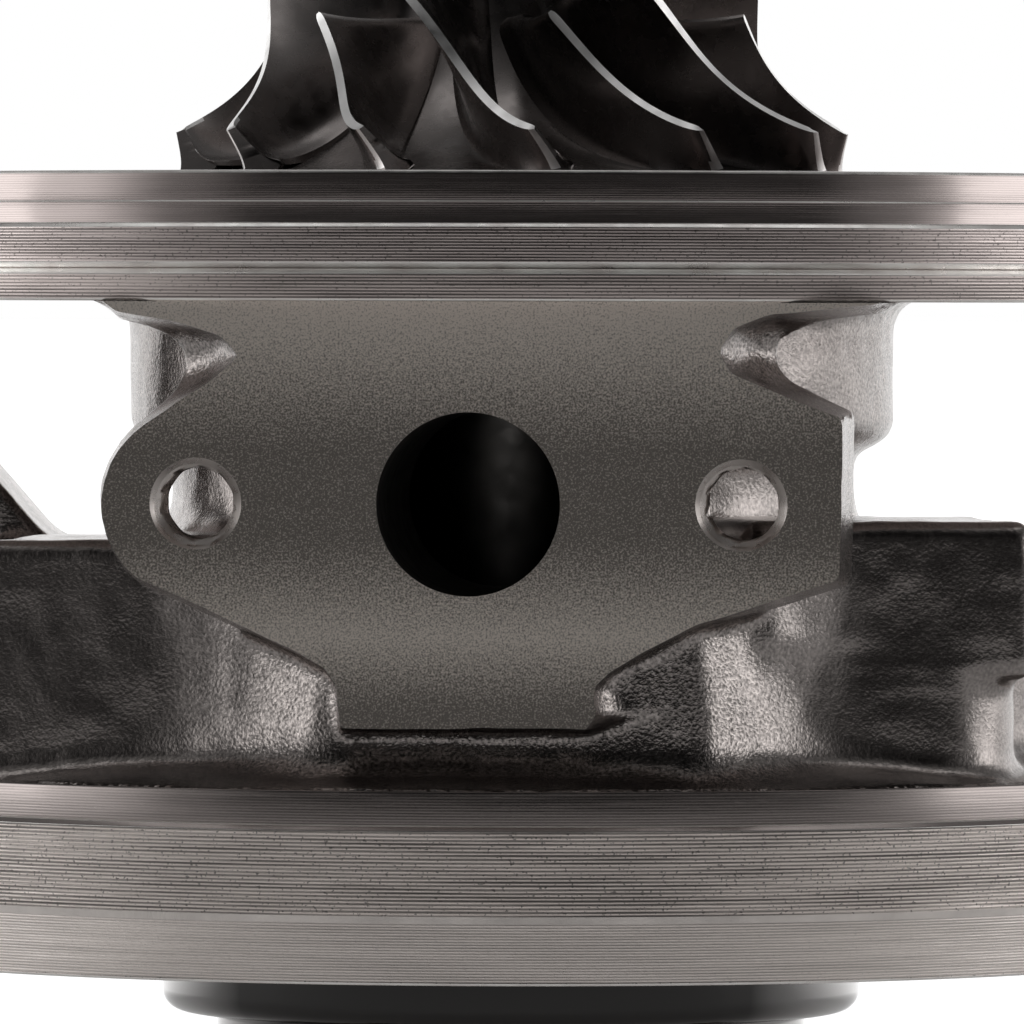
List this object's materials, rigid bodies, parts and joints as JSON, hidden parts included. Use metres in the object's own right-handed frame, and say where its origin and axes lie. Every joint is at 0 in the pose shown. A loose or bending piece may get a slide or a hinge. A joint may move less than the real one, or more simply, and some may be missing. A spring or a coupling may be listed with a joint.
{
  "type": "turbocharger cartridge",
  "caption": "Turbocharger centre section: cast bearing housing with oil drain flange, backplate and heat shield, carrying a rotor with compressor and turbine wheels.",
  "frame": {"origin": "on the rotor axis at the turbine face of the housing", "axes": "+Z along the rotor axis toward the compressor, -Y out of the oil drain face"},
  "size_m": [0.106, 0.106, 0.1165],
  "materials": {
    "cast_housing": "sand cast, with turned flanges and a milled drain face",
    "turned_plate": "fine turned",
    "seal_rubber": "moulded",
    "screw_steel": "dark steel",
    "bearing_bronze": "machined bronze",
    "pressed_steel": "pressed sheet",
    "shield_steel": "polished pressed sheet",
    "spring_steel": "oiled spring steel",
    "shaft_steel": "ground",
    "turbine_alloy": "investment cast nickel alloy",
    "wheel_aluminium": "milled from solid",
    "nut_steel": "dark steel"
  },
  "bodies": {
    "housing": {"bearing_housing": "cast_housing", "compressor_backplate": "turned_plate", "backplate_oring": "seal_rubber", "backplate_screws": "screw_steel", "thrust_bearing": "bearing_bronze", "thrust_pins": "screw_steel", "oil_deflector": "pressed_steel", "heat_shield": "shield_steel", "turbine_outer_circlip": "spring_steel", "turbine_inner_circlip": "spring_steel", "compressor_inner_circlip": "spring_steel", "compressor_outer_circlip": "spring_steel", "compressor_piston_ring": "spring_steel", "turbine_piston_ring": "spring_steel"},
    "rotor": {"rotor_shaft": "shaft_steel", "turbine_wheel": "turbine_alloy", "thrust_washer": "shaft_steel", "thrust_collar": "shaft_steel", "oil_flinger": "shaft_steel", "compressor_wheel": "wheel_aluminium", "compressor_nut": "nut_steel"},
    "turbine_journal": {"turbine_journal_bearing": "bearing_bronze"},
    "compressor_journal": {"compressor_journal_bearing": "bearing_bronze"}
  },
  "joints": [
    {"name": "rotor_spin", "type": "hinge", "parent": "housing", "child": "rotor", "pos_m": [0, 0, 0.02], "axis": [0, 0, 1], "continuous": true},
    {"name": "turbine_journal_float", "type": "hinge", "parent": "housing", "child": "turbine_journal", "pos_m": [0, 0, 0.0103], "axis": [0, 0, 1], "continuous": true},
    {"name": "compressor_journal_float", "type": "hinge", "parent": "housing", "child": "compressor_journal", "pos_m": [0, 0, 0.03355], "axis": [0, 0, 1], "continuous": true}
  ]
}
